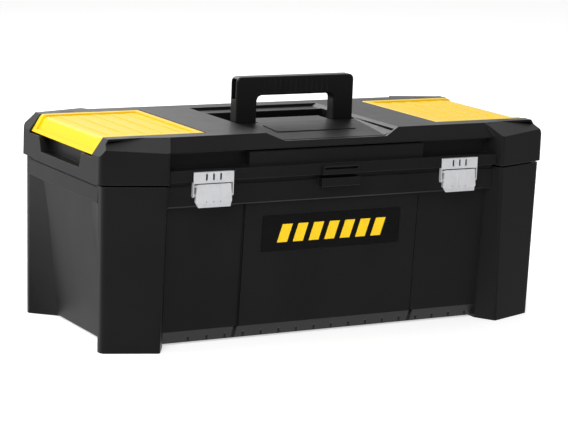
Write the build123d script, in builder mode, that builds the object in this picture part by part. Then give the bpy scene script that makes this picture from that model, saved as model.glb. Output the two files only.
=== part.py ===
from build123d import *
from math import hypot
import os

os.makedirs("parts", exist_ok=True)

# Carpenter's toolbox. Millimetres, +Z up. The origin is on the floor, under the middle of the box.
# X runs along the box's length, the latches are on the -Y side, and the lid is hinged on the +Y side.

# ---------------------------------------------------------------- driving dimensions

length = 665.0            # over the lid's end faces
depth = 300.0             # over the corner blocks
height = 270.6            # floor to the lid's flat top
wall = 3.0                # moulded wall of the tub and the lid

lid_height = 55.6         # lid, from the seam at its corner blocks to its top
seam_gap = 2.5            # shadow gap between the tub's corners and the lid's corners
floor_lift = 2.4          # the floor's underside stands clear of the ground on the corner feet

end_draft = 26.0          # how far each end wall leans in, from its top to the floor
side_draft = 9.0          # how far the front and back walls lean in
panel_width = 260.0       # raised panel in the middle of the front and the back
panel_step = 2.2          # how far that panel is raised
band_front_height = 27.0  # reinforcing band under the rim, front and back
band_end_height = 21.5    # the same band on the end walls
trim_height = 16.5        # strip that slopes in at the foot of the front and the back
trim_inset = 7.0
trim_pitch = 26.5         # spacing of the notches along that strip
groove_width = 2.4        # grooves beside the raised panels
groove_depth = 1.1

latch_inset = 147.9       # from the lid's end face to the latch's centre line
hook_width = 56.8
lever_width = 52.0
sheet = 1.1               # steel sheet of the latches
latch_pin_d = 2.4
latch_arm = 11.0          # lever pivot to hook pivot
latch_lug_x = 16.5        # tub's lugs, to each side of the latch's centre line
pin_clearance = 0.05      # radial running clearance of every pin

hinge_pin_d = 4.0
hinge_knuckle_d = 9.0
hinge_inset = 142.5       # from the lid's end face to the middle of each outer hinge
knuckle_width = 16.0

cover_reach = 159.2       # cover, from the lid's end face to its inner edge
cover_margin = 52.0       # lid left in front of and behind each cover
cover_gap = 0.8
cover_skin = 2.6
crest_round = 7.0         # rounding of each cover's crest
cover_recess = 2.2        # depth of the dished middle of each cover
bin_depth = 34.0          # organiser bin, below the lid's top
cover_pin_d = 2.5

handle_width = 179.0
handle_rise = 57.0        # grip's top, above the lid's top
handle_leg = 31.0
handle_thick = 17.0
grip_height = 25.0
handle_pin_d = 6.0
pocket_depth = 25.0
pocket_gap = 2.5

tray_height = 45.0
tray_margin = 26.0        # tub's end wall to the tray's end
tray_wall = 2.2
tray_headroom = 8.0       # tray's rim, below the tub's rim

label_width = 208.0
label_height = 48.0
label_thick = 0.6

corner_round = 8.0        # rounding of the box's upright outer corners
block_round = 3.5         # rounding of the inner corner of each corner block and pillar

# ---------------------------------------------------------------- places worked out from them

half_l = length / 2
half_d = depth / 2
top = height
seam = top - lid_height               # underside of the lid's corner blocks
rim = seam - seam_gap                 # top of the tub's corner pillars
rim_mid = rim - 2.5                   # top of the tub's rim between the pillars
lip_low = seam + 1.5                  # underside of the lid's lip between the blocks
floor_top = floor_lift + wall

end_top = half_l - 10.5               # tub's end wall at the band
end_low = end_top - end_draft
side_top = half_d - 22.0              # tub's front wall at the band
side_low = side_top - side_draft
band_y = half_d - 13.0                # outer face of the band, front and back
band_x = half_l - 4.0
band_low = rim_mid - band_front_height

lip_front = half_d - 7.2              # lid's lip, front
lip_back = half_d - 9.0               # lid's lip, back
lip_top = lip_low + 14.5
channel_y = half_d - 26.0             # back of the shadow channel above the lip
crest_y = half_d - 28.5               # front edge of the lid's flat top
crest_x = half_l - 14.5               # outer edge of the lid's flat top
bevel_z = top - 17.6                  # where the front bevel starts
end_bevel_z = top - 20.6              # where the end chamfer starts
vertex_x = half_l - 83.2              # inner corner of each corner block
root_x = half_l - 95.5                # foot of each block's flank
mid_x = root_x + 8.0                  # half length of the lid between its blocks

hinge_x = half_l - hinge_inset
hinge_y = half_d - hinge_knuckle_d / 2
hinge_z = (rim + seam) / 2 + 0.5

latch_x = half_l - latch_inset
lug_r = latch_pin_d / 2 + 1.0
plate_y = -(lip_front + 0.4)          # back face of the hook plate
lever_pivot_y = -(half_d - 8.5)
lever_pivot_z = rim_mid
hook_pivot_z = lever_pivot_z - latch_arm
arm_r = latch_pin_d / 2 + 1.5         # rounded end of the hook's side arms
hook_pivot_y = plate_y - sheet + arm_r

cover_inner = half_l - cover_reach
cover_half_y = half_d - cover_margin
cover_crest = half_l - 15.6
flap_x = half_l - 2.5
flap_z = top - 21.9
cover_axis_r = cover_skin
cover_axis_x = cover_inner + cover_gap + cover_axis_r
cover_axis_z = top - cover_axis_r
bin_inner = cover_inner + 8.0
bin_outer = half_l - 20.5
bin_half_y = cover_half_y - 6.0
bin_floor = top - bin_depth

handle_y = -10.5
handle_z = top - 14.6
handle_top = top + handle_rise
leg_inner = handle_width / 2 - handle_leg
pocket_x = handle_width / 2 + pocket_gap
pocket_floor = top - pocket_depth
pocket_front = handle_y - handle_thick / 2 - pocket_gap
pocket_back = handle_y + (handle_top - handle_z) + 9.0
sunk_floor = top - 3.8                # floor of the wide sunk area round the handle
sunk_back = pocket_back + 27.0
sunk_x = pocket_x + 7.5

tray_top = rim_mid - tray_headroom
tray_low = tray_top - tray_height
tray_half_x = half_l - tray_margin - 10.0
tray_half_y = side_top - wall - 7.5

SIDES = (-1, 1)


def mirrored(points, sx, sy):
    """Points of the +X +Y quarter, moved to another quarter."""
    return [(sx * x, sy * y) for x, y in points]


def prism(points, plane, reach, inset=0.0):
    """An outline on a plane, drawn in by inset and extruded to both sides."""
    with BuildPart(mode=Mode.PRIVATE) as body:
        with BuildSketch(plane):
            with BuildLine():
                Polyline(*points, close=True)
            make_face()
            if inset:
                offset(amount=-inset, kind=Kind.INTERSECTION, mode=Mode.REPLACE)
        extrude(amount=reach, both=True)
    return body.part


def span(x0, x1, y0, y1, z0, z1):
    """A plain box between two corners, as a free solid."""
    middle = Pos((x0 + x1) / 2, (y0 + y1) / 2, (z0 + z1) / 2)
    return middle * Box(abs(x1 - x0), abs(y1 - y0), abs(z1 - z0), mode=Mode.PRIVATE)


def rod(x, y, z, radius, reach, turn=(0, 90, 0)):
    """A round bar about a point, along X unless turned, as a free solid."""
    return Pos(x, y, z) * Cylinder(radius, reach, rotation=turn, mode=Mode.PRIVATE)


# ---------------------------------------------------------------- tub

panel_half = panel_width / 2
trim_top = trim_height + floor_lift
wall_rise = band_low - floor_lift
trim_y = side_low + side_draft * trim_height / wall_rise   # front wall where the strip begins
trim_foot_y = trim_y - trim_inset
trim_run = hypot(trim_height, trim_inset)
notch_count = int((root_x - 12.0) // trim_pitch)
core_x = vertex_x - 2.0               # the walls run this far in behind the pillars
core_y = half_d - 44.0
mouth_x = tray_half_x + 6.0
mouth_y = tray_half_y + 3.5


def pillar_plan(lean):
    """Quarter outline of a corner pillar. lean is 0 at its top and 1 at its foot."""
    end_x = half_l - 4.0 - 3.9 * lean
    flank_y = half_d - 101.0 + 34.0 * lean
    return [
        (end_top - 24.0 - end_draft * lean, flank_y),
        (end_top - 2.0 - end_draft * lean, flank_y),
        (end_x, half_d - 40.0 + 2.0 * lean),
        (end_x, half_d - 26.4 - 1.5 * lean),
        (vertex_x + 1.2 + 4.0 * lean, half_d - 1.8 - 0.9 * lean),
        (root_x + 4.0 - 3.0 * lean, half_d - 20.0 - 10.0 * lean),
        (root_x + 1.0, half_d - 50.0),
    ]


def pillar(sx, sy, inset, z_low, z_high):
    """A corner pillar, lofted from its foot to its top; inset gives its hollow."""
    reach = 1.0 if sy < 0 else (half_d - 5.0) / half_d
    with BuildPart(mode=Mode.PRIVATE) as corner:
        for z, lean in ((z_low, 1.0), (z_high, 0.0)):
            plan = mirrored(pillar_plan(lean), sx, sy * reach)
            with BuildSketch(Plane.XY.offset(z)) as outline:
                with BuildLine():
                    Polyline(*plan, close=True)
                make_face()
                fillet(outline.vertices().sort_by_distance(plan[3])[0], radius=corner_round)
                fillet(outline.vertices().sort_by_distance(plan[4])[0], radius=block_round)
                if inset:
                    offset(amount=-inset, kind=Kind.INTERSECTION, mode=Mode.REPLACE)
        loft(ruled=True)
    return corner.part


def leaning_box(low, high):
    """A box whose four walls lean, between two centred rectangles given as (x, y, z)."""
    with BuildPart(mode=Mode.PRIVATE) as body:
        for x, y, z in (low, high):
            with BuildSketch(Plane.XY.offset(z)):
                Rectangle(2 * x, 2 * y)
        loft(ruled=True)
    return body.part


def wall_y(z):
    """Outer face of the front wall at a height."""
    return side_low + side_draft * (z - floor_lift) / wall_rise


tray_rib = [
    (mouth_y - 16.0, floor_top - 0.5), (trim_foot_y - 1.0, floor_top - 0.5), (trim_y - 1.5, trim_top),
    (wall_y(tray_low) - 1.5, tray_low - 0.3), (mouth_y - 16.0, tray_low - 0.3),
]
foot_cut = [
    (trim_y, trim_top), (trim_foot_y, floor_lift - 0.1), (trim_y + 20.0, floor_lift - 0.1), (trim_y + 20.0, trim_top),
]
band_front = [
    (band_y, rim_mid), (band_y, band_low + 1.5), (band_y - 1.5, band_low),
    (1.5 - band_y, band_low), (-band_y, band_low + 1.5), (-band_y, rim_mid),
]
band_end_low = rim_mid - band_end_height
band_end = [
    (band_x, rim_mid), (band_x, band_end_low + 1.5), (end_top - 2.0, band_end_low - 3.0),
    (2.0 - end_top, band_end_low - 3.0), (-band_x, band_end_low + 1.5), (-band_x, rim_mid),
]

with BuildPart() as tub:
    # front, back and end walls, leaning in to the floor
    add(leaning_box((core_x, side_low, floor_lift), (core_x, side_top, band_low)))
    add(leaning_box((end_low, core_y, floor_lift), (end_top, core_y, band_end_low + 1.0)))
    add(leaning_box((panel_half, side_low + panel_step, floor_lift), (panel_half, side_top + panel_step, band_low)))
    # the foot of the front and back walls slopes in
    for sy in SIDES:
        add(prism(mirrored(foot_cut, sy, 1), Plane.YZ, half_l), mode=Mode.SUBTRACT)
    # reinforcing band under the rim
    add(prism(band_front, Plane.YZ, mid_x + 1.0))
    add(prism(band_end, Plane.XZ, half_d - 40.0))
    for sx in SIDES:
        for sy in SIDES:
            add(pillar(sx, sy, 0.0, 0.0, rim))
    # hollow, leaving the floor and an even wall
    inner_foot_y = trim_foot_y - wall - 0.6
    add(
        leaning_box((core_x, inner_foot_y, floor_top), (core_x, trim_y - wall - 0.4, trim_top)),
        mode=Mode.SUBTRACT,
    )
    add(
        leaning_box((core_x, trim_y - wall - 0.4, trim_top), (core_x, side_top - wall, band_low + wall)),
        mode=Mode.SUBTRACT,
    )
    add(
        leaning_box((end_low - wall, core_y, floor_top), (end_top - wall, core_y, band_end_low)),
        mode=Mode.SUBTRACT,
    )
    for sx in SIDES:
        for sy in SIDES:
            add(pillar(sx, sy, wall, floor_top, rim - wall), mode=Mode.SUBTRACT)
    mouth = rim + 20.0
    add(span(-mid_x, mid_x, wall - band_y, band_y - wall, band_low + wall, mouth), mode=Mode.SUBTRACT)
    add(span(wall - band_x, band_x - wall, -core_y, core_y, band_end_low, mouth), mode=Mode.SUBTRACT)
    add(span(-mouth_x, mouth_x, -mouth_y, mouth_y, band_low, mouth), mode=Mode.SUBTRACT)
    # tongue that stands up inside the lid
    for sy in SIDES:
        add(span(-mid_x + 2.0, mid_x - 2.0, sy * (band_y - wall), sy * (band_y - 1.2), rim_mid - wall, rim_mid + 9.0))
    for sx in SIDES:
        add(span(sx * (band_x - wall), sx * (band_x - 1.2), -core_y, core_y, rim_mid - wall, rim_mid + 9.0))
    # ribs that carry the tray
    for x in (-0.7, -0.25, 0.25, 0.7):
        for sy in SIDES:
            rib = prism(mirrored(tray_rib, sy, 1), Plane.YZ.offset(x * tray_half_x), 1.25)
            add(rib)
    # notches along the sloping strip, and a wider one beside the raised panel
    for sy in SIDES:
        slope = Plane(
            origin=(0, sy * (trim_y + trim_foot_y) / 2, (trim_top + floor_lift) / 2),
            x_dir=(1, 0, 0),
            z_dir=(0, sy * trim_height, -trim_inset),
        )
        with BuildSketch(slope):
            for i in range(-notch_count, notch_count + 1):
                with Locations(((i + 0.5) * trim_pitch, sy * trim_run / 4)):
                    Rectangle(3.4, trim_run / 2, rotation=-14 * sy)
            for sx in SIDES:
                with Locations((sx * (panel_half + 4.0), 0)):
                    Rectangle(6.0, trim_run + 2.0)
        extrude(amount=-1.8, mode=Mode.SUBTRACT)
    # groove down each side of the raised panels
    for sx in SIDES:
        for sy in SIDES:
            line = [
                (wall_y(band_low) + 1.0, band_low), (wall_y(band_low) - groove_depth, band_low),
                (wall_y(trim_top) - groove_depth, trim_top), (wall_y(trim_top) + 1.0, trim_top),
            ]
            beside = Plane.YZ.offset(sx * (panel_half + groove_width / 2))
            add(prism(mirrored(line, sy, 1), beside, groove_width / 2), mode=Mode.SUBTRACT)
    # padlock lug under the lid's lug
    add(span(-28.5, 28.5, -(half_d - 3.0), -(band_y - 1.0), rim_mid - 9.0, rim_mid + 2.0))
    # lugs that hold the latch pivots
    for sx in SIDES:
        for dx in (-1, 1):
            x = sx * latch_x + dx * latch_lug_x
            add(span(x - 1.7, x + 1.7, lever_pivot_y, -(band_y - 1.0), lever_pivot_z - lug_r, lever_pivot_z + lug_r))
            add(rod(x, lever_pivot_y, lever_pivot_z, lug_r, 3.4))
            add(rod(x, lever_pivot_y, lever_pivot_z, latch_pin_d / 2 + pin_clearance, 9.0), mode=Mode.SUBTRACT)
    # knuckles of the lid hinges
    for x in (-hinge_x, 0.0, hinge_x):
        for dx in SIDES:
            side = x + dx * (knuckle_width / 2 + 0.3 + 6.0)
            add(span(side - 6.0, side + 6.0, band_y - 1.0, hinge_y, hinge_z - hinge_knuckle_d / 2, hinge_z))
            add(rod(side, hinge_y, hinge_z, hinge_knuckle_d / 2, 12.0))
        hole = rod(x, hinge_y, hinge_z, hinge_pin_d / 2 + pin_clearance, knuckle_width + 30.0)
        add(hole, mode=Mode.SUBTRACT)
tub.part.label = "tub"
export_step(tub.part, "parts/tub.step")

# ---------------------------------------------------------------- lid


def lid_front_to_back(drop):
    """Front-to-back section of the lid between its corner blocks, as (y, z)."""
    low = lip_low - drop
    return [
        (-lip_front, low), (-lip_front, lip_top - 1.0), (1.0 - lip_front, lip_top),
        (-channel_y, lip_top + 0.8), (-channel_y, bevel_z - 1.5), (-band_y, bevel_z - 0.5),
        (-band_y, bevel_z + 1.0), (-crest_y, top), (channel_y, top), (half_d - 16.0, top - 8.6),
        (half_d - 16.0, lip_top + 1.0), (lip_back, lip_top - 1.5), (lip_back, low),
    ]


def lid_end_to_end(drop):
    """End-to-end section of the lid, as (x, z)."""
    return [
        (-half_l, seam - drop), (-half_l, end_bevel_z), (-crest_x, top),
        (crest_x, top), (half_l, end_bevel_z), (half_l, seam - drop),
    ]


def lid_block(sx, sy, inset, drop):
    """A corner block of the lid, with its end chamfer and its front or back bevel."""
    reach = half_d if sy < 0 else half_d - 5.0
    plan = [
        (half_l - 50.0, half_d - 60.0), (half_l, half_d - 60.0), (half_l, half_d - 26.4),
        (vertex_x, reach), (root_x, channel_y - 1.0), (root_x, half_d - 60.0),
    ]
    plan = mirrored(plan, sx, sy)
    corner_low = Vector(sx * vertex_x, sy * reach, top - (15.6 if sy < 0 else 12.6))
    if sy < 0:
        crest = (Vector(sx * (root_x + 1.0), -crest_y, top), Vector(sx * crest_x, -(crest_y - 17.5), top))
    else:
        crest = (Vector(sx * vertex_x, half_d - 17.0, top), Vector(sx * (half_l - 32.5), half_d - 31.5, top))
    bevel = (crest[1] - crest[0]).cross(crest[0] - corner_low).normalized()
    if bevel.Z < 0:
        bevel = bevel * -1
    end = Vector(sx * (top - end_bevel_z), 0, half_l - crest_x).normalized()
    with BuildPart(mode=Mode.PRIVATE) as corner:
        with BuildSketch(Plane.XY.offset(seam - drop)) as outline:
            with BuildLine():
                Polyline(*plan, close=True)
            make_face()
            fillet(outline.vertices().sort_by_distance(plan[2])[0], radius=corner_round)
            fillet(outline.vertices().sort_by_distance(plan[3])[0], radius=block_round)
            if inset:
                offset(amount=-inset, kind=Kind.INTERSECTION, mode=Mode.REPLACE)
        extrude(amount=lid_height + drop - inset)
        split(bisect_by=Plane(origin=Vector(sx * crest_x, 0, top) - end * inset, z_dir=end), keep=Keep.BOTTOM)
        split(bisect_by=Plane(origin=crest[0] - bevel * inset, z_dir=bevel), keep=Keep.BOTTOM)
    return corner.part


def cover_line(skin, x_inner, end_margin):
    """The cover's outer surface, moved in by skin: inner edge, crest and flap's foot, as (x, z)."""
    run = hypot(flap_x - cover_crest, top - flap_z)
    along = ((flap_x - cover_crest) / run, (flap_z - top) / run)
    out = (-along[1], along[0])
    t = skin * (1 - out[1]) / -along[1]
    crest_point = (cover_crest - skin * out[0] + t * along[0], top - skin)
    foot = (flap_x - skin * out[0] - end_margin * along[0], flap_z - skin * out[1] - end_margin * along[1])
    return [(x_inner, top - skin), crest_point, foot]


def cover_ribbon(sx, skin0, skin1, x_inner, end_margin, half_y):
    """A bent plate between two depths under the cover's surface."""
    points = cover_line(skin0, x_inner, end_margin) + cover_line(skin1, x_inner, end_margin)[::-1]
    return prism(mirrored(points, sx, 1), Plane.XZ, half_y)


sunk_section = [
    (-half_d, top - 11.1), (-crest_y - 2.0, top - 9.6), (pocket_front, sunk_floor), (sunk_back, sunk_floor),
    (sunk_back, top + 2.0), (-half_d, top + 2.0),
]
sunk_slope = (sunk_x - 77.0) / 9.6    # lean of the sunk area's side walls
seat_y = cover_half_y + cover_gap
slot_back = half_l - 14.5
slot_low = flap_z - 21.7
slot_plan = [(-60.0, slot_low), (60.0, slot_low), (68.9, flap_z + 4.0), (-68.9, flap_z + 4.0)]
notch_half = hook_width / 2 + 1.6
bar_half = panel_half + 0.4
bar_front = half_d - 13.5
bar_top = lip_top + 19.4

with BuildPart() as sunk:
    with BuildSketch(Plane.XZ):
        with BuildLine():
            low_x = sunk_x - sunk_slope * 14.0
            high_x = sunk_x + sunk_slope * 2.0
            Polyline((-low_x, top - 14.0), (low_x, top - 14.0), (high_x, top + 2.0), (-high_x, top + 2.0), close=True)
        make_face()
    extrude(amount=half_d, both=True)
    with BuildSketch(Plane.YZ):
        with BuildLine():
            Polyline(*sunk_section, close=True)
        make_face()
    extrude(amount=half_l, both=True, mode=Mode.INTERSECT)

with BuildPart() as lid:
    add(prism(lid_front_to_back(0.0), Plane.YZ, mid_x))
    add(prism(lid_end_to_end(0.0), Plane.XZ, half_d - 35.0))
    for sx in SIDES:
        for sy in SIDES:
            add(lid_block(sx, sy, 0.0, 0.0))
    # hollow from below
    add(prism(lid_front_to_back(20.0), Plane.YZ, mid_x, wall), mode=Mode.SUBTRACT)
    add(prism(lid_end_to_end(20.0), Plane.XZ, half_d - 35.0, wall), mode=Mode.SUBTRACT)
    for sx in SIDES:
        for sy in SIDES:
            add(lid_block(sx, sy, wall, 20.0), mode=Mode.SUBTRACT)
    # walls of the organiser bins and of their finger slots
    for sx in SIDES:
        add(cover_ribbon(sx, 0.6, 8.0, cover_inner - wall, 0.0, seat_y + wall))
        add(span(
            sx * (bin_inner - wall), sx * (bin_outer + wall), -bin_half_y - wall, bin_half_y + wall,
            bin_floor - wall, top - 2.0,
        ))
        add(span(sx * (slot_back - wall), sx * (half_l - 1.0), -72.0, 72.0, slot_low - wall, end_bevel_z - 1.0))
        for sy in SIDES:
            add(span(
                sx * (cover_axis_x - 5.0), sx * (cover_axis_x + 5.0), sy * seat_y, sy * (seat_y + 7.0),
                cover_axis_z - 4.5, top - 1.0,
            ))
        # backing of the notch that each latch hook drops into
        x = sx * latch_x
        back = 3.6 - lip_front
        add(span(x - notch_half - wall, x + notch_half + wall, back, back + 2.4, lip_low, lip_top))
    # pan under the sunk area, and the walls of the handle's pocket
    pan = [
        (-crest_y - 2.0, top - 12.6), (pocket_front, sunk_floor - wall), (sunk_back + wall, sunk_floor - wall),
        (sunk_back + wall, top - 1.0), (-crest_y - 2.0, top - 5.0),
    ]
    add(prism(pan, Plane.YZ, sunk_x + 1.0))
    add(span(
        -pocket_x - wall, pocket_x + wall, pocket_front - wall, pocket_back + wall, pocket_floor - wall, top - 5.0,
    ))
    # long bar between the latches, standing on the lip
    bar = [(-channel_y + 1.0, lip_top - 1.0), (-bar_front, lip_top - 1.0), (-bar_front, bar_top - 2.0),
           (-bar_front + 2.0, bar_top), (-channel_y + 1.0, bar_top)]
    add(prism(bar, Plane.YZ, bar_half))
    # padlock lug
    add(span(-27.4, 27.4, -(half_d - 3.4), 1.0 - lip_front, lip_low, lip_top - 2.0))
    # lid knuckles
    for x in (-hinge_x, 0.0, hinge_x):
        half_k = knuckle_width / 2
        add(span(x - half_k, x + half_k, lip_back - 1.0, hinge_y, hinge_z, hinge_z + 7.0))
        add(rod(x, hinge_y, hinge_z, hinge_knuckle_d / 2, knuckle_width))
        hole = rod(x, hinge_y, hinge_z, hinge_pin_d / 2 + pin_clearance, knuckle_width + 2.0)
        add(hole, mode=Mode.SUBTRACT)
    # openings of the bins, seats of the covers and finger slots under their flaps
    for sx in SIDES:
        seat = cover_line(cover_skin + 0.8, cover_inner, -0.6)
        seat_points = [(cover_inner, top + 3.0)] + seat + [(half_l + 3.0, seat[2][1]), (half_l + 3.0, top + 3.0)]
        add(prism(mirrored(seat_points, sx, 1), Plane.XZ, seat_y), mode=Mode.SUBTRACT)
        add(cover_ribbon(sx, 0.0, 5.9, bin_inner + 1.0, 0.0, bin_half_y), mode=Mode.SUBTRACT)
        add(span(
            sx * cover_inner, sx * (cover_axis_x + cover_axis_r + 0.8), -seat_y, seat_y,
            cover_axis_z - cover_axis_r - 0.6, top + 1.0,
        ), mode=Mode.SUBTRACT)
        add(span(sx * bin_inner, sx * bin_outer, -bin_half_y, bin_half_y, bin_floor, top + 1.0), mode=Mode.SUBTRACT)
        add(prism(slot_plan, Plane.YZ.offset(sx * (slot_back + 10.0)), 10.0), mode=Mode.SUBTRACT)
        add(rod(
            sx * cover_axis_x, 0, cover_axis_z, cover_pin_d / 2 + pin_clearance, 2 * seat_y + 11.0, (90, 0, 0),
        ), mode=Mode.SUBTRACT)
        # fixed cross walls in each bin
        middle = (bin_inner + bin_outer) / 2
        add(span(sx * (middle - 0.9), sx * (middle + 0.9), -bin_half_y, bin_half_y, bin_floor, top - 8.0))
        add(span(sx * bin_inner, sx * bin_outer, -0.9, 0.9, bin_floor, top - 8.0))
        # notch for the latch hook
        x = sx * latch_x
        add(span(x - notch_half, x + notch_half, -half_d, 3.6 - lip_front, lip_low - 1.0, lip_top + 1.0),
            mode=Mode.SUBTRACT)
        # small slots in the top, outside the covers
        for y in (-(half_d - 43.0), half_d - 43.0):
            add(span(sx * (half_l - 66.0), sx * (half_l - 47.0), y - 0.9, y + 0.9, top - 1.6, top + 1.0),
                mode=Mode.SUBTRACT)
    # sunk area and handle pocket
    add(sunk.part, mode=Mode.SUBTRACT)
    plateau_back = handle_y + 26.0
    for sx in SIDES:
        add(span(
            sx * (leg_inner - pocket_gap), sx * pocket_x, pocket_front, pocket_back, pocket_floor, top + 1.0,
        ), mode=Mode.SUBTRACT)
    add(span(-pocket_x, pocket_x, plateau_back, pocket_back, pocket_floor, top + 1.0), mode=Mode.SUBTRACT)
    under = leg_inner - pocket_gap - wall
    add(span(-under, under, pocket_front + wall, plateau_back - wall, pocket_floor - 10.0, sunk_floor - wall),
        mode=Mode.SUBTRACT)
    for sx in SIDES:
        add(rod(sx * (pocket_x + 1.0), handle_y, handle_z, handle_pin_d / 2 + pin_clearance, 8.0), mode=Mode.SUBTRACT)
    # the bar is hollow behind, and the lug has its slot
    add(span(wall - bar_half, bar_half - wall, wall - bar_front, 2.0 - channel_y + wall, lip_top + 2.0, bar_top - wall),
        mode=Mode.SUBTRACT)
    add(span(-25.0, 25.0, -half_d, -(lip_front - 1.0), lip_low + 6.5, lip_low + 9.7), mode=Mode.SUBTRACT)
lid.part.label = "lid"
export_step(lid.part, "parts/lid.step")

# ---------------------------------------------------------------- organiser covers

dish_inner = cover_inner + 12.0
dish_half_y = cover_half_y - 9.5
dish_skin = 2.2
band_count = 5
band_half = 5.0
band_rise = 0.9

for name, sx in (("left", -1), ("right", 1)):
    with BuildPart() as cover:
        add(cover_ribbon(sx, 0.0, cover_skin, cover_axis_x, 0.0, cover_half_y))
        add(rod(sx * cover_axis_x, 0, cover_axis_z, cover_axis_r, 2 * cover_half_y, (90, 0, 0)))
        add(cover_ribbon(sx, 1.0, cover_recess + dish_skin, dish_inner - 2.0, 3.0, dish_half_y + 2.0))
        add(cover_ribbon(sx, -1.0, cover_recess, dish_inner, 5.0, dish_half_y), mode=Mode.SUBTRACT)
        # broad raised bands across the dished middle
        band_run = cover_crest - 22.0 - dish_inner - 10.0
        for i in range(band_count):
            x = dish_inner + 10.0 + band_run * i / (band_count - 1)
            add(span(sx * (x - band_half), sx * (x + band_half), 5.0 - dish_half_y, dish_half_y - 5.0,
                     top - cover_recess - 0.5, top - cover_recess + band_rise))
        # rounded crest
        crest = cover.edges().filter_by(Axis.Y).filter_by_position(Axis.Z, top - cover_recess - 0.1, top + 0.1)
        outer = half_l - cover_crest
        crest = crest.filter_by(lambda edge: abs(edge.center().X) > cover_crest - outer / 4)
        fillet(crest, radius=crest_round)
        # small hole in the middle of the crest
        add(rod(sx * (cover_crest - 6.0), 0, top, 1.6, 12.0, (0, 0, 0)), mode=Mode.SUBTRACT)
        for sy in SIDES:
            y = sy * (cover_half_y - 4.0)
            add(rod(sx * cover_axis_x, y, cover_axis_z, cover_pin_d / 2 + pin_clearance, 8.4, (90, 0, 0)),
                mode=Mode.SUBTRACT)
    cover.part.label = f"organiser_cover_{name}"
    export_step(cover.part, f"parts/organiser_cover_{name}.step")

with BuildPart() as cover_hinge_pins:
    for sx in SIDES:
        for sy in SIDES:
            add(rod(sx * cover_axis_x, sy * (seat_y - 1.5), cover_axis_z, cover_pin_d / 2, 13.0, (90, 0, 0)))
cover_hinge_pins.part.label = "cover_hinge_pins"
export_step(cover_hinge_pins.part, "parts/cover_hinge_pins.step")

# ---------------------------------------------------------------- handle

grip_low = handle_top - grip_height
handle_half = handle_width / 2
with BuildPart() as handle:
    with BuildSketch(Plane.XZ.offset(-handle_y)) as front_view:
        with BuildLine():
            Polyline(
                (-handle_half, handle_z), (-handle_half, handle_top), (handle_half, handle_top), (handle_half, handle_z),
                (leg_inner, handle_z), (leg_inner, grip_low), (-leg_inner, grip_low), (-leg_inner, handle_z), close=True,
            )
        make_face()
        fillet(front_view.vertices().group_by(Axis.Y)[-1], radius=7.0)
        fillet(front_view.vertices().filter_by_position(Axis.Y, grip_low - 1.0, grip_low + 1.0), radius=8.0)
    extrude(amount=handle_thick / 2, both=True)
    for sx in SIDES:
        add(rod(sx * (leg_inner + handle_half) / 2, handle_y, handle_z, handle_thick / 2, handle_leg))
    rounded = handle.edges().filter_by(GeomType.LINE).filter_by(Axis.Z) + handle.edges().filter_by(Axis.X).group_by(Axis.Z)[-1]
    fillet(rounded, radius=2.0)
    for sx in SIDES:
        # open channel in each end of the grip
        add(span(sx * (handle_half - 24.0), sx * (handle_half + 1.0), handle_y - 5.6, handle_y + 5.6,
                 grip_low - 5.0, handle_top - 3.0), mode=Mode.SUBTRACT)
        add(rod(sx * (handle_half - 8.0), handle_y, handle_z, handle_pin_d / 2 + pin_clearance, 18.0),
            mode=Mode.SUBTRACT)
    # shallow grooves across the front and back of the grip
    for i in range(-6, 7):
        for sy in SIDES:
            y = handle_y + sy * handle_thick / 2
            add(span(i * 8.0 - 0.7, i * 8.0 + 0.7, y - 0.5, y + 0.5, grip_low + 4.0, handle_top - 4.0),
                mode=Mode.SUBTRACT)
handle.part.label = "handle"
export_step(handle.part, "parts/handle.step")

with BuildPart() as handle_pivot_pins:
    for sx in SIDES:
        add(rod(sx * (pocket_x - 3.0), handle_y, handle_z, handle_pin_d / 2, 14.0))
handle_pivot_pins.part.label = "handle_pivot_pins"
export_step(handle_pivot_pins.part, "parts/handle_pivot_pins.step")

# ---------------------------------------------------------------- latches

lever_back = plate_y - sheet - 0.4
lever_face = lever_back - sheet
lever_top = lever_pivot_z + 3.0
lever_low = band_low + 0.6
lever_half = lever_width / 2
hook_low = lever_top + 1.0            # the hook's plate stops just above the lever
hook_top = lip_top - 2.6
arm_top = lip_low - 1.0
detail_pitch = 10.0
rib_width = 1.5
rib_shift = 2.6                       # ribs stand this far to the left of the slots
rib_foot = 9.0

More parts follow.
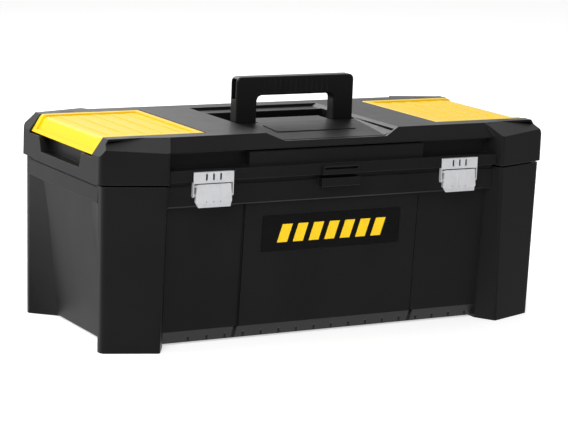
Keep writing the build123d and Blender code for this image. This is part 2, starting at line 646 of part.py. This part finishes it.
lever_section = [
    (lever_face, lever_top), (lever_face, lever_low + 4.4), (lever_face - 2.4, lever_low + 0.4),
    (lever_face - 1.4, lever_low), (lever_back, lever_low + 4.0), (lever_back, lever_top),
]
ear = [
    (lever_face, lever_top), (lever_pivot_y + 2.4, lever_top - 0.8), (lever_pivot_y + 3.4, hook_pivot_z),
    (lever_pivot_y + 3.6, lever_low + 6.0), (lever_face, lever_low + 4.4),
]
for name, sx in (("left", -1), ("right", 1)):
    centre = sx * latch_x
    lever_plan = [
        (centre - lever_half + 2.4, lever_top + 1.0), (centre + lever_half - 2.4, lever_top + 1.0),
        (centre + lever_half, lever_low + 7.0), (centre + lever_half - 4.2, lever_low - 1.0),
        (centre - lever_half + 4.2, lever_low - 1.0), (centre - lever_half, lever_low + 7.0),
    ]
    with BuildPart() as lever:
        add(prism(lever_section, Plane.YZ.offset(centre), lever_half))
        add(prism(lever_plan, Plane.XZ, half_d), mode=Mode.INTERSECT)
        for dx in SIDES:
            add(prism(ear, Plane.YZ.offset(centre + dx * (lever_half - 2.4 - sheet / 2)), sheet / 2))
        # three pressed ribs, each ending in a small hole
        for i in (-1, 0, 1):
            x = centre + i * detail_pitch
            with BuildSketch(Plane.XZ.offset(-lever_face)):
                with Locations((x - rib_shift, (lever_top - 0.6 + lever_low + rib_foot) / 2)):
                    Rectangle(rib_width, lever_top - 0.6 - lever_low - rib_foot)
            extrude(amount=0.5)
            hole = rod(x, lever_face, lever_low + 6.8, 0.8, 4.0, (90, 0, 0))
            add(hole, mode=Mode.SUBTRACT)
        for y, z in ((lever_pivot_y, lever_pivot_z), (hook_pivot_y, hook_pivot_z)):
            add(rod(centre, y, z, latch_pin_d / 2 + pin_clearance, lever_width + 4.0), mode=Mode.SUBTRACT)
    lever.part.label = f"latch_lever_{name}"
    export_step(lever.part, f"parts/latch_lever_{name}.step")

    with BuildPart() as hook:
        # wide plate over the lid's lip, with three slots
        half_h = hook_width / 2
        with BuildSketch(Plane.XZ.offset(-plate_y)):
            with Locations((centre, (hook_low + hook_top) / 2)):
                Rectangle(hook_width, hook_top - hook_low)
            with Locations(*[(centre + i * detail_pitch, hook_top - 6.5) for i in (-1, 0, 1)]):
                SlotOverall(9.0, 2.6, rotation=90, mode=Mode.SUBTRACT)
        extrude(amount=sheet)
        # the three pressed ribs carry on up the plate, beside the slots
        with BuildSketch(Plane.XZ.offset(-(plate_y - sheet))):
            with Locations(*[(centre + i * detail_pitch - rib_shift, (hook_low + hook_top) / 2) for i in (-1, 0, 1)]):
                Rectangle(rib_width, hook_top - hook_low - 1.0)
        extrude(amount=0.5)
        # flange turned in at its top
        flange = hook_width / 2 - sheet - 0.8
        add(span(centre - flange, centre + flange, plate_y - sheet, plate_y + 3.2, hook_top - sheet, hook_top))
        # an arm folded back at each end, which reaches down outside the lever to the hook pin
        for dx in SIDES:
            inner, outer = centre + dx * (half_h - sheet), centre + dx * half_h
            add(span(inner, outer, plate_y - sheet, hook_pivot_y + arm_r, hook_pivot_z, arm_top))
            add(span(inner, outer, plate_y - sheet, plate_y, arm_top - 1.0, hook_low + 1.0))
            add(rod((inner + outer) / 2, hook_pivot_y, hook_pivot_z, arm_r, sheet))
        add(rod(centre, hook_pivot_y, hook_pivot_z, latch_pin_d / 2 + pin_clearance, hook_width + 2.0),
            mode=Mode.SUBTRACT)
    hook.part.label = f"latch_hook_{name}"
    export_step(hook.part, f"parts/latch_hook_{name}.step")

    with BuildPart() as hook_pin:
        add(rod(centre, hook_pivot_y, hook_pivot_z, latch_pin_d / 2, hook_width))
    hook_pin.part.label = f"latch_hook_pin_{name}"
    export_step(hook_pin.part, f"parts/latch_hook_pin_{name}.step")

with BuildPart() as latch_pivot_pins:
    for sx in SIDES:
        add(rod(sx * latch_x, lever_pivot_y, lever_pivot_z, latch_pin_d / 2, lever_width))
latch_pivot_pins.part.label = "latch_pivot_pins"
export_step(latch_pivot_pins.part, "parts/latch_pivot_pins.step")

with BuildPart() as lid_hinge_pins:
    for x in (-hinge_x, 0.0, hinge_x):
        add(rod(x, hinge_y, hinge_z, hinge_pin_d / 2, knuckle_width + 24.0))
lid_hinge_pins.part.label = "lid_hinge_pins"
export_step(lid_hinge_pins.part, "parts/lid_hinge_pins.step")

# ---------------------------------------------------------------- lift-out tray

tray_lean = 3.0
tray_floor = tray_low + tray_wall
carrier_half = 62.0
with BuildPart() as tray:
    add(leaning_box((tray_half_x - tray_lean, tray_half_y - tray_lean, tray_low), (tray_half_x, tray_half_y, tray_top)))
    add(
        leaning_box(
            (tray_half_x - tray_lean - tray_wall, tray_half_y - tray_lean - tray_wall, tray_floor),
            (tray_half_x - tray_wall, tray_half_y - tray_wall, tray_top),
        ),
        mode=Mode.SUBTRACT,
    )
    # cross walls
    for x in (-carrier_half - 12.0, carrier_half + 12.0):
        add(span(x - 0.9, x + 0.9, tray_lean + 1.0 - tray_half_y, tray_half_y - tray_lean - 1.0,
                 tray_low + 1.0, tray_top - 4.0))
    for sx in SIDES:
        add(span(sx * (carrier_half + 12.0), sx * (tray_half_x - tray_lean - 1.0), -0.9, 0.9, tray_low + 1.0, tray_top - 8.0))
tray.part.label = "tray"
export_step(tray.part, "parts/tray.step")

with BuildPart() as tray_handle:
    with BuildSketch(Plane.XZ) as carrier_view:
        with BuildLine():
            Polyline(
                (-carrier_half, tray_floor), (-carrier_half, tray_top + 20.0), (carrier_half, tray_top + 20.0),
                (carrier_half, tray_floor), (carrier_half - 12.0, tray_floor), (carrier_half - 12.0, tray_top + 6.0),
                (12.0 - carrier_half, tray_top + 6.0), (12.0 - carrier_half, tray_floor), close=True,
            )
        make_face()
        fillet(carrier_view.vertices().group_by(Axis.Y)[-1], radius=6.0)
    extrude(amount=7.0, both=True)
tray_handle.part.label = "tray_handle"
export_step(tray_handle.part, "parts/tray_handle.step")

# ---------------------------------------------------------------- label and badge

label_z = floor_lift + wall_rise * 0.76
label_plane = Plane(
    origin=(0, -(wall_y(label_z) + panel_step), label_z),
    x_dir=(1, 0, 0),
    z_dir=(0, -wall_rise, -side_draft),
)
with BuildPart() as front_label:
    with BuildSketch(label_plane):
        RectangleRounded(label_width, label_height, 1.5)
    extrude(amount=label_thick)
front_label.part.label = "front_label"
export_step(front_label.part, "parts/front_label.step")

badge_front = -(crest_y + 2.0)
badge_drop = 9.6 - (top - sunk_floor)
badge_y = pocket_front - 38.0
badge_z = sunk_floor - badge_drop * (pocket_front - badge_y) / (pocket_front - badge_front)
badge_plane = Plane(
    origin=(0, badge_y, badge_z), x_dir=(1, 0, 0), z_dir=(0, -badge_drop, pocket_front - badge_front),
)
with BuildPart() as lid_badge:
    with BuildSketch(badge_plane):
        RectangleRounded(120.0, 42.0, 3.0)
    extrude(amount=0.8)
lid_badge.part.label = "lid_badge"
export_step(lid_badge.part, "parts/lid_badge.step")
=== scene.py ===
import math

import bpy
import numpy as np
from mathutils import Matrix, Vector


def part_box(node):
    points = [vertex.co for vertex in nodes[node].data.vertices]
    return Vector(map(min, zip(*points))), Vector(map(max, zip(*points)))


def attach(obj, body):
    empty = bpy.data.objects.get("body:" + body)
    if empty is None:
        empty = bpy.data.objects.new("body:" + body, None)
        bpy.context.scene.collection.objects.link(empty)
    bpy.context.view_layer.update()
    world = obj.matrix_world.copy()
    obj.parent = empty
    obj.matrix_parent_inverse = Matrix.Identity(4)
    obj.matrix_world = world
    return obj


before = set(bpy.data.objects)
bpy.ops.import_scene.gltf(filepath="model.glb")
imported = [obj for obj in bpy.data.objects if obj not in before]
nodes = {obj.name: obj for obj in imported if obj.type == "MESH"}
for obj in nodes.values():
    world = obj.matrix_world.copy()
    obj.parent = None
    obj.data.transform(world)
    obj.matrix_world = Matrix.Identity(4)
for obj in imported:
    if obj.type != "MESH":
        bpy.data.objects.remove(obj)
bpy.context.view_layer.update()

# ---------------------------------------------------------------- camera
# The box is seen from its left front, from a little above, through a long lens
# that is held a couple of degrees out of level.

CAMERA_AT = Vector((-1.4762, -2.5999, 0.7159))
AZIMUTH, DOWN, ROLL = math.radians(29.589), math.radians(10.950), math.radians(2.319)
ahead = Vector((math.sin(AZIMUTH) * math.cos(DOWN), math.cos(AZIMUTH) * math.cos(DOWN), -math.sin(DOWN)))
level = ahead.cross(Vector((0, 0, 1))).normalized()
upward = level.cross(ahead)
right = math.cos(ROLL) * level + math.sin(ROLL) * upward
up = math.cos(ROLL) * upward - math.sin(ROLL) * level

lens = bpy.data.cameras.new("camera")
lens.lens, lens.sensor_width = 142.35, 36.0
lens.clip_start, lens.clip_end = 0.1, 60.0
camera = bpy.data.objects.new("camera", lens)
camera.matrix_world = Matrix.Translation(CAMERA_AT) @ Matrix((right, up, -ahead)).transposed().to_4x4()
bpy.context.scene.collection.objects.link(camera)
bpy.context.scene.camera = camera
bpy.context.scene.view_settings.view_transform = "Standard"


# ---------------------------------------------------------------- tub and lid
# Two thin-walled mouldings of black polypropylene. Their outside faces come from a spark-eroded
# mould, so they are satin with a very fine grain, and their corners are rounded smooth; a paler colour
# painted along them is partly wear and partly a painted highlight.

class Field:
    """A number that varies over a surface. Adding, multiplying and so on adds a Math node."""

    def __init__(self, finish, socket):
        self.finish, self.socket = finish, socket

    def math(self, operation, first, second=0.0):
        made = self.finish.add("ShaderNodeMath", {"operation": operation}, {0: first, 1: second})
        return Field(self.finish, made.outputs[0])

    def __add__(self, other):
        return self.math("ADD", self, other)

    def __sub__(self, other):
        return self.math("SUBTRACT", self, other)

    def __rsub__(self, other):
        return self.math("SUBTRACT", other, self)

    def __mul__(self, other):
        return self.math("MULTIPLY", self, other)

    __radd__ = __add__
    __rmul__ = __mul__

    def step(self, low, high):
        """0 below low, 1 above high, and a smooth rise between."""
        made = self.finish.add("ShaderNodeMapRange", {"interpolation_type": "SMOOTHSTEP"},
                               {"Value": self, "From Min": low, "From Max": high})
        return Field(self.finish, made.outputs["Result"])


class Finish:
    """A material with one Principled BSDF, whose constants sit on its own sockets."""

    def __init__(self, name, **constants):
        self.material = bpy.data.materials.new(name)
        self.material.use_nodes = True
        self.tree = self.material.node_tree
        self.shader = self.tree.nodes["Principled BSDF"]
        for socket, value in constants.items():
            self.shader.inputs[socket.replace("_", " ")].default_value = value
        self.place = self.add("ShaderNodeTexCoord").outputs["Object"]

    def add(self, kind, settings=(), values=()):
        """A node of a kind, with its settings made first and then its sockets' values or links."""
        made = self.tree.nodes.new(kind)
        for key, value in dict(settings).items():
            setattr(made, key, value)
        for key, value in dict(values).items():
            self.feed(made.inputs[key], value)
        return made

    def feed(self, socket, value):
        value = value.socket if isinstance(value, Field) else value
        if isinstance(value, bpy.types.NodeSocket):
            self.tree.links.new(value, socket)
        else:
            socket.default_value = value

    def noise(self, scale, detail=3.0, roughness=0.5, stretch=(1, 1, 1)):
        """Cloudy noise, about 0.5 in the middle, with scale bumps to the metre."""
        at = self.add("ShaderNodeMapping", {}, {"Vector": self.place, "Scale": stretch}).outputs[0]
        values = {"Vector": at, "Scale": scale, "Detail": detail, "Roughness": roughness}
        made = self.add("ShaderNodeTexNoise", {}, values)
        return Field(self, made.outputs["Fac"])

    def blend(self, share, plain, other):
        """A colour between two, by a share."""
        made = self.add("ShaderNodeMix", {"data_type": "RGBA"}, {"Factor": share, 6: plain, 7: other})
        return made.outputs[2]

    def edges(self, radius):
        """A rounded normal, and how far it leans from the face's own: near 0 on flat faces
        and up to 1 along edges."""
        soft = self.add("ShaderNodeBevel", {"samples": 4}, {"Radius": radius}).outputs[0]
        flat = self.add("ShaderNodeNewGeometry").outputs["Normal"]
        lean = self.add("ShaderNodeVectorMath", {"operation": "DOT_PRODUCT"}, {0: soft, 1: flat})
        return soft, (1 - Field(self, lean.outputs["Value"])).step(0.002, 0.22)

    def relief(self, height, depth, strength=1.0, normal=None):
        """Bump of a real depth in metres, on top of a rounded normal if one is given."""
        values = {"Height": height, "Distance": depth, "Strength": strength}
        if normal is not None:
            values["Normal"] = normal
        self.feed(self.shader.inputs["Normal"], self.add("ShaderNodeBump", {}, values).outputs[0])

    def paint(self, *names):
        """Puts this finish on CAD nodes."""
        for name in names:
            slots = nodes[name].data.materials
            slots.clear()
            slots.append(self.material)


def black_moulding(name, colour, wear_and_highlight_colour, roughness, grain, soft_edge):
    """Satin black polypropylene: fine mould grain, cloudy gloss, and smooth edges painted pale, partly as
    wear and partly as a painted highlight.
    """
    made = Finish(name, IOR=1.49, Specular_IOR_Level=0.34)
    normal, edge = made.edges(soft_edge)
    cloud = made.noise(7.0, 4.0, 0.55)
    smear = made.noise(26.0, 3.0, 0.6, (1, 1, 0.35))
    dust = made.noise(420.0, 2.0, 0.5)
    # Edge mask with patchy noise: the base colour is blended paler along edges, partly as rubbed wear and
    # partly as a painted highlight.
    wear_and_highlight = edge * (0.35 + 0.65 * made.noise(60.0).step(0.35, 0.65))
    dusty = (*[1.5 * c for c in colour], 1)
    tone = made.blend(cloud.step(0.3, 0.75) * 0.5 + dust.step(0.5, 0.8) * 0.2, (*colour, 1), dusty)
    made.feed(made.shader.inputs["Base Color"], made.blend(wear_and_highlight * 0.5, tone, (*wear_and_highlight_colour, 1)))
    gloss = roughness + (cloud - 0.5) * 0.10 + (smear - 0.5) * 0.10 - wear_and_highlight * 0.07
    made.feed(made.shader.inputs["Roughness"], gloss)
    made.relief(made.noise(1500.0, 2.0, 0.6) * 0.7 + made.noise(650.0, 1.0) * 0.3, grain, 0.35, normal)
    return made


# The third colour is the pale edge colour: partly wear, partly a painted highlight.
shell = black_moulding("black_plastic", colour=(0.0068, 0.0068, 0.0072), wear_and_highlight_colour=(0.045, 0.045, 0.048),
                       roughness=0.40, grain=0.00006, soft_edge=0.0011)
shell.paint("tub", "lid", "lid_badge")

# ---------------------------------------------------------------- handle
# One moulding of the same black plastic, polished a little by hands, that folds down
# on two steel pins into the pocket behind it.

grip = black_moulding("handle_plastic", colour=(0.0060, 0.0060, 0.0064), wear_and_highlight_colour=(0.040, 0.040, 0.043),
                      roughness=0.36, grain=0.00005, soft_edge=0.0012)
grip.paint("handle")

# ---------------------------------------------------------------- tray
# The lift-out tray and its bow handle are thinner mouldings of the same plastic, in a slightly
# greyer batch with a coarser grain.

inside = black_moulding("tray_plastic", colour=(0.011, 0.011, 0.0115), wear_and_highlight_colour=(0.05, 0.05, 0.052),
                        roughness=0.46, grain=0.00008, soft_edge=0.0008)
inside.paint("tray", "tray_handle")

# ---------------------------------------------------------------- organiser covers
# Two covers of bright yellow polypropylene, glossier than the box, hinged on their inner edges.
# The plastic is slightly cloudy, with faint flow marks along its length.

YELLOW, YELLOW_PALE, YELLOW_DEEP = (1.0, 0.66, 0.004, 1), (1.0, 0.80, 0.07, 1), (0.94, 0.55, 0.002, 1)
cover_finish = Finish("yellow_plastic", IOR=1.49, Specular_IOR_Level=0.22)
soft, edge = cover_finish.edges(0.0009)
flow = cover_finish.noise(9.0, 3.0, 0.5, (0.35, 1.6, 1))
speck = cover_finish.noise(900.0, 2.0, 0.6)
tone = cover_finish.blend(flow.step(0.3, 0.8) * 0.22, YELLOW, YELLOW_DEEP)
# Painted highlight: the edges are blended towards pale yellow, as if the rounded edges caught the light.
highlit_edge_tone = cover_finish.blend(edge * 0.55, tone, YELLOW_PALE)
cover_finish.feed(cover_finish.shader.inputs["Base Color"], highlit_edge_tone)
cover_finish.feed(cover_finish.shader.inputs["Roughness"], 0.36 + (cover_finish.noise(30.0) - 0.5) * 0.14)
cover_finish.relief(speck * 0.8 + flow * 0.2, 0.00004, 0.3, soft)
cover_finish.paint("organiser_cover_left", "organiser_cover_right")

# ---------------------------------------------------------------- latches and pins
# Each latch is two pressings of 1 mm steel sheet, zinc-plated bright: a lever that is pulled down
# over a plate whose top flange holds the lid's lip. Pins are drawn steel rod of the same finish.

STEEL, STEEL_DULL, STEEL_EDGE_HIGHLIGHT = (0.84, 0.85, 0.87, 1), (0.66, 0.67, 0.70, 1), (0.9, 0.91, 0.92, 1)
plated = Finish("steel", Metallic=0.32, IOR=2.2, Specular_IOR_Level=0.5)
soft, edge = plated.edges(0.0004)
brushed = plated.noise(1400.0, 2.0, 0.6, (0.06, 1, 1))
bloom = plated.noise(55.0, 4.0, 0.6)
tone = plated.blend(bloom.step(0.42, 0.72) * 0.35, STEEL, STEEL_DULL)
# Painted highlight: the edges are blended towards a brighter steel colour.
plated.feed(plated.shader.inputs["Base Color"], plated.blend(edge * 0.4, tone, STEEL_EDGE_HIGHLIGHT))
plated.feed(plated.shader.inputs["Roughness"], 0.34 + (brushed - 0.5) * 0.16 + (bloom - 0.5) * 0.2)
plated.relief(brushed, 0.00003, 0.3, soft)
for side in ("left", "right"):
    plated.paint(f"latch_lever_{side}", f"latch_hook_{side}", f"latch_hook_pin_{side}")
plated.paint("latch_pivot_pins", "lid_hinge_pins", "cover_hinge_pins", "handle_pivot_pins")

# ---------------------------------------------------------------- front label
# A black self-adhesive plate on the front panel, printed with slanted yellow bars.
# The film is smooth and glossier than the wall it is stuck to.

FILM_BLACK, FILM_GREY = (0.0025, 0.0025, 0.003, 1), (0.006, 0.006, 0.007, 1)
film = Finish("label", IOR=1.5, Specular_IOR_Level=0.4)
soft = film.edges(0.0003)[0]
shade = film.blend(film.noise(40.0).step(0.4, 0.8) * 0.3, FILM_BLACK, FILM_GREY)
film.feed(film.shader.inputs["Base Color"], shade)
film.feed(film.shader.inputs["Roughness"], 0.28 + (film.noise(25.0) - 0.5) * 0.12)
film.relief(film.noise(300.0), 0.00003, 0.2, soft)
film.paint("front_label")

FILM_THICK = 0.0006
PRINT_THICK = 0.00016
PRINT_GAP = 0.00002


def slanted_bar(name, origin, rise, middle, width, height, slant, thick):
    """A printed bar: on a grid of u across and v up, the point is the plate's centre, plus X by the
    middle and u times the width and v times the slant, plus v times the height up the plate's slope."""
    u, v = np.meshgrid(np.linspace(-0.5, 0.5, 7), np.linspace(-0.5, 0.5, 13))
    across = np.array([1.0, 0.0, 0.0])
    along = (middle + u * width + v * slant)[..., None] * across + (v * height)[..., None] * rise
    points = (origin + along).reshape(-1, 3)
    k = np.arange(u.size).reshape(u.shape)
    faces = np.stack([k[:-1, :-1], k[:-1, 1:], k[1:, 1:], k[1:, :-1]], -1).reshape(-1, 4)
    mesh = bpy.data.meshes.new(name)
    mesh.from_pydata(points.tolist(), [], faces.tolist())
    made = bpy.data.objects.new(name, mesh)
    bpy.context.scene.collection.objects.link(made)
    body = made.modifiers.new("thickness", "SOLIDIFY")
    body.thickness, body.offset = thick, 1.0
    corner = made.modifiers.new("soft edge", "BEVEL")
    corner.width, corner.segments = thick * 0.3, 2
    return made


def leaning_face(node, thick):
    """The middle of a leaning plate's outer face, the unit direction up its slope and its outward
    normal. The slope runs between the plate's box corners, less the plate's own thickness."""
    low, high = (np.array(corner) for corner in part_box(node))
    slope = np.array([0.0, low[1] - high[1] + thick, high[2] - low[2]])
    face = (low + high) / 2
    rise = slope / np.linalg.norm(slope)
    out = np.array([0.0, -rise[2], rise[1]])
    return face + out * (thick / 2), rise, out


ink = Finish("label_print", IOR=1.5, Specular_IOR_Level=0.3)
soft, edge = ink.edges(0.0003)
patchy = ink.noise(160.0, 3.0).step(0.45, 0.75) * 0.35 + edge * 0.2
ink.feed(ink.shader.inputs["Base Color"], ink.blend(patchy, YELLOW, YELLOW_DEEP))
ink.feed(ink.shader.inputs["Roughness"], 0.34 + (ink.noise(60.0) - 0.5) * 0.14)
ink.relief(ink.noise(700.0), 0.00002, 0.2, soft)

BARS = 7
BAR_PITCH = 0.0235
BAR_WIDTH = 0.0150
BAR_HEIGHT = 0.0240
BAR_SLANT = 0.0070
centre, rise, out = leaning_face("front_label", FILM_THICK)
for i in range(BARS):
    middle = (i - (BARS - 1) / 2) * BAR_PITCH
    bar = slanted_bar(f"label_bar_{i + 1}", centre + out * PRINT_GAP, rise, middle,
                      BAR_WIDTH, BAR_HEIGHT, BAR_SLANT, PRINT_THICK)
    bar.data.materials.append(ink.material)
    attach(bar, "tub")

# ---------------------------------------------------------------- floor and light
# A plain white sweep of paper, and soft light from big panels: one over the back,
# one at the left front, and pale walls all round.

def plate(name, low, high, z):
    """A flat rectangle of a grid: the points between two corners at one height."""
    x, y = np.meshgrid(np.linspace(low[0], high[0], 9), np.linspace(low[1], high[1], 9))
    points = np.stack([x, y, np.full_like(x, z)], -1).reshape(-1, 3)
    k = np.arange(x.size).reshape(x.shape)
    faces = np.stack([k[:-1, :-1], k[:-1, 1:], k[1:, 1:], k[1:, :-1]], -1).reshape(-1, 4)
    mesh = bpy.data.meshes.new(name)
    mesh.from_pydata(points.tolist(), [], faces.tolist())
    made = bpy.data.objects.new(name, mesh)
    bpy.context.scene.collection.objects.link(made)
    return made


PAPER, PAPER_SHADE = (0.86, 0.86, 0.86, 1), (0.84, 0.84, 0.84, 1)
FLOOR_HALF = 14.0
paper = Finish("paper", Roughness=0.9, Specular_IOR_Level=0.1,
               Emission_Color=(1, 1, 1, 1), Emission_Strength=0.55)
paper.feed(paper.shader.inputs["Base Color"], paper.blend(paper.noise(3.0) * 0.1, PAPER, PAPER_SHADE))
floor = plate("floor", (-FLOOR_HALF, -FLOOR_HALF), (FLOOR_HALF, FLOOR_HALF), 0.0)
floor.data.materials.append(paper.material)
floor.visible_glossy = False

world = bpy.data.worlds.new("studio")
bpy.context.scene.world = world
world.use_nodes = True
tree = world.node_tree
facing = tree.nodes.new("ShaderNodeSeparateXYZ")
tree.links.new(tree.nodes.new("ShaderNodeTexCoord").outputs["Generated"], facing.inputs[0])


def sky_ramp(direction, start, end, dim, bright):
    """Brightness of the surroundings: a smooth change from dim to bright as a direction goes
    from start to end."""
    made = tree.nodes.new("ShaderNodeMapRange")
    made.interpolation_type = "SMOOTHSTEP"
    tree.links.new(facing.outputs[direction], made.inputs["Value"])
    for key, value in {"From Min": start, "From Max": end, "To Min": dim, "To Max": bright}.items():
        made.inputs[key].default_value = value
    return made.outputs["Result"]


walls = sky_ramp("Y", -0.55, 0.75, 0.14, 0.78)
paper_glow = sky_ramp("Z", -0.35, -0.9, 0.0, 1.3)
both = tree.nodes.new("ShaderNodeMath")
both.operation = "ADD"
tree.links.new(walls, both.inputs[0])
tree.links.new(paper_glow, both.inputs[1])
tree.links.new(both.outputs[0], tree.nodes["Background"].inputs["Strength"])
tree.nodes["Background"].inputs["Color"].default_value = (1, 1, 1, 1)


def panel(name, at, towards, size, power):
    """A soft rectangular lamp at one point, turned towards another."""
    lamp = bpy.data.lights.new(name, "AREA")
    lamp.shape, lamp.size, lamp.size_y = "RECTANGLE", size[0], size[1]
    lamp.energy = power
    made = bpy.data.objects.new(name, lamp)
    made.location = at
    made.rotation_mode = "QUATERNION"
    made.rotation_quaternion = (Vector(towards) - Vector(at)).to_track_quat("-Z", "Y")
    bpy.context.scene.collection.objects.link(made)
    return made


panel("key_light", (-1.3, -2.0, 2.2), (0, 0, 0.15), (1.8, 1.4), 55)
panel("back_light", (-0.4, 2.0, 1.9), (0, 0, 0.2), (3.0, 1.2), 42)
panel("left_light", (-2.4, 0.6, 1.0), (0, 0, 0.15), (1.6, 1.4), 14)
